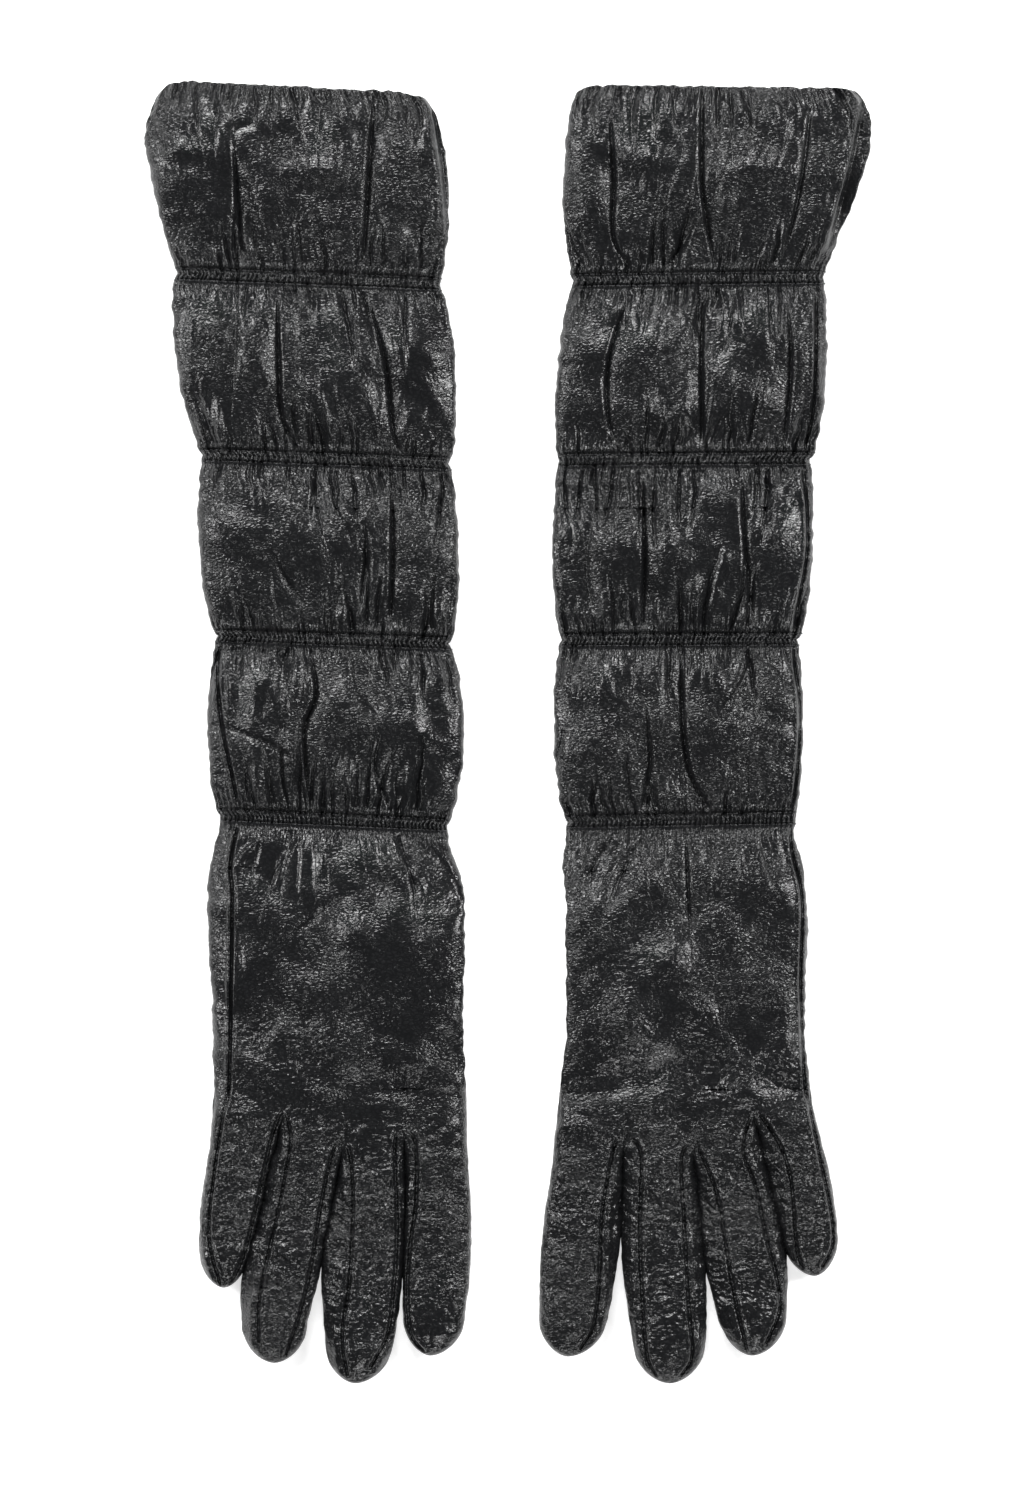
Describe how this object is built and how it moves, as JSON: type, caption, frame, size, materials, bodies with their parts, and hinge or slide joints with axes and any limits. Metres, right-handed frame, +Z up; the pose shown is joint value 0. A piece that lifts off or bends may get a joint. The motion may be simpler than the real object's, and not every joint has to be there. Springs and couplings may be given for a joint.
{
  "type": "opera gloves",
  "caption": "Pair of long leather gloves lying flat, each with a gauntlet gathered into puffs by elastic rows, jointed fingers, thumb, wrist and forearm.",
  "frame": {"origin": "on the table, under the middle of the pair's box", "axes": "+X from the right-hand glove to the left-hand glove, +Y towards the cuffs, +Z up from the table"},
  "size_m": [0.2477, 0.4444, 0.0186],
  "materials": {
    "leather": "semi-gloss black nappa with a fine grain",
    "elastic": "matt black woven elastic",
    "thread": "black sewing thread with a slight sheen"
  },
  "bodies": {
    "right_hand": {"right_hand_leather": "leather"},
    "right_thumb": {"right_thumb_leather": "leather"},
    "right_pinky": {"right_pinky_back": "leather", "right_pinky_palm": "leather", "right_pinky_fourchette": "leather"},
    "right_ring": {"right_ring_back": "leather", "right_ring_palm": "leather", "right_ring_inner_fourchette": "leather", "right_ring_outer_fourchette": "leather"},
    "right_middle": {"right_middle_back": "leather", "right_middle_palm": "leather", "right_middle_inner_fourchette": "leather", "right_middle_outer_fourchette": "leather"},
    "right_index": {"right_index_trank": "leather", "right_index_fourchette": "leather"},
    "right_forearm": {"right_puff_3_leather": "leather", "right_puff_4_leather": "leather", "right_row_3_elastic": "elastic", "right_row_3_stitching": "thread", "right_row_4_elastic": "elastic", "right_row_4_stitching": "thread"},
    "right_cuff": {"right_puff_1_leather": "leather", "right_puff_2_leather": "leather", "right_row_1_elastic": "elastic", "right_row_1_stitching": "thread", "right_row_2_elastic": "elastic", "right_row_2_stitching": "thread", "right_hem_elastic": "elastic"},
    "left_hand": {"left_hand_leather": "leather"},
    "left_thumb": {"left_thumb_leather": "leather"},
    "left_pinky": {"left_pinky_back": "leather", "left_pinky_palm": "leather", "left_pinky_fourchette": "leather"},
    "left_ring": {"left_ring_back": "leather", "left_ring_palm": "leather", "left_ring_inner_fourchette": "leather", "left_ring_outer_fourchette": "leather"},
    "left_middle": {"left_middle_back": "leather", "left_middle_palm": "leather", "left_middle_inner_fourchette": "leather", "left_middle_outer_fourchette": "leather"},
    "left_index": {"left_index_trank": "leather", "left_index_fourchette": "leather"},
    "left_forearm": {"left_puff_3_leather": "leather", "left_puff_4_leather": "leather", "left_row_3_elastic": "elastic", "left_row_3_stitching": "thread", "left_row_4_elastic": "elastic", "left_row_4_stitching": "thread"},
    "left_cuff": {"left_puff_1_leather": "leather", "left_puff_2_leather": "leather", "left_row_1_elastic": "elastic", "left_row_1_stitching": "thread", "left_row_2_elastic": "elastic", "left_row_2_stitching": "thread", "left_hem_elastic": "elastic"}
  },
  "joints": [
    {"name": "right_wrist", "type": "hinge", "parent": "right_hand", "child": "right_forearm", "pos_m": [-0.0599, -0.0325, 0.01], "axis": [1, 0, 0], "range_deg": [0, 80]},
    {"name": "right_forearm_fold", "type": "hinge", "parent": "right_forearm", "child": "right_cuff", "pos_m": [-0.0621, 0.0911, 0.01], "axis": [1, 0, 0], "range_deg": [0, 90]},
    {"name": "right_thumb_swing", "type": "hinge", "parent": "right_hand", "child": "right_thumb", "pos_m": [-0.033, -0.062, 0.0072], "axis": [0, 0, 1], "range_deg": [0, 40]},
    {"name": "right_pinky_lift", "type": "hinge", "parent": "right_hand", "child": "right_pinky", "pos_m": [-0.0891, -0.123, 0.014], "axis": [-1, 0, 0], "range_deg": [0, 70]},
    {"name": "right_ring_lift", "type": "hinge", "parent": "right_hand", "child": "right_ring", "pos_m": [-0.0665, -0.123, 0.014], "axis": [-1, 0, 0], "range_deg": [0, 70]},
    {"name": "right_middle_lift", "type": "hinge", "parent": "right_hand", "child": "right_middle", "pos_m": [-0.046, -0.123, 0.014], "axis": [-1, 0, 0], "range_deg": [0, 70]},
    {"name": "right_index_lift", "type": "hinge", "parent": "right_hand", "child": "right_index", "pos_m": [-0.0248, -0.123, 0.014], "axis": [-1, 0, 0], "range_deg": [0, 70]},
    {"name": "left_wrist", "type": "hinge", "parent": "left_hand", "child": "left_forearm", "pos_m": [0.0593, -0.0325, 0.01], "axis": [1, 0, 0], "range_deg": [0, 80]},
    {"name": "left_forearm_fold", "type": "hinge", "parent": "left_forearm", "child": "left_cuff", "pos_m": [0.0607, 0.0911, 0.01], "axis": [1, 0, 0], "range_deg": [0, 90]},
    {"name": "left_thumb_swing", "type": "hinge", "parent": "left_hand", "child": "left_thumb", "pos_m": [0.0355, -0.062, 0.0072], "axis": [0, 0, -1], "range_deg": [0, 40]},
    {"name": "left_pinky_lift", "type": "hinge", "parent": "left_hand", "child": "left_pinky", "pos_m": [0.0936, -0.123, 0.014], "axis": [-1, 0, 0], "range_deg": [0, 70]},
    {"name": "left_ring_lift", "type": "hinge", "parent": "left_hand", "child": "left_ring", "pos_m": [0.0737, -0.123, 0.014], "axis": [-1, 0, 0], "range_deg": [0, 70]},
    {"name": "left_middle_lift", "type": "hinge", "parent": "left_hand", "child": "left_middle", "pos_m": [0.0515, -0.123, 0.014], "axis": [-1, 0, 0], "range_deg": [0, 70]},
    {"name": "left_index_lift", "type": "hinge", "parent": "left_hand", "child": "left_index", "pos_m": [0.0282, -0.123, 0.014], "axis": [-1, 0, 0], "range_deg": [0, 70]},
    {"name": "pair_slide", "type": "slide", "parent": "right_hand", "child": "left_hand", "axis": [1, 0, 0], "range_m": [0, 0.15]}
  ]
}
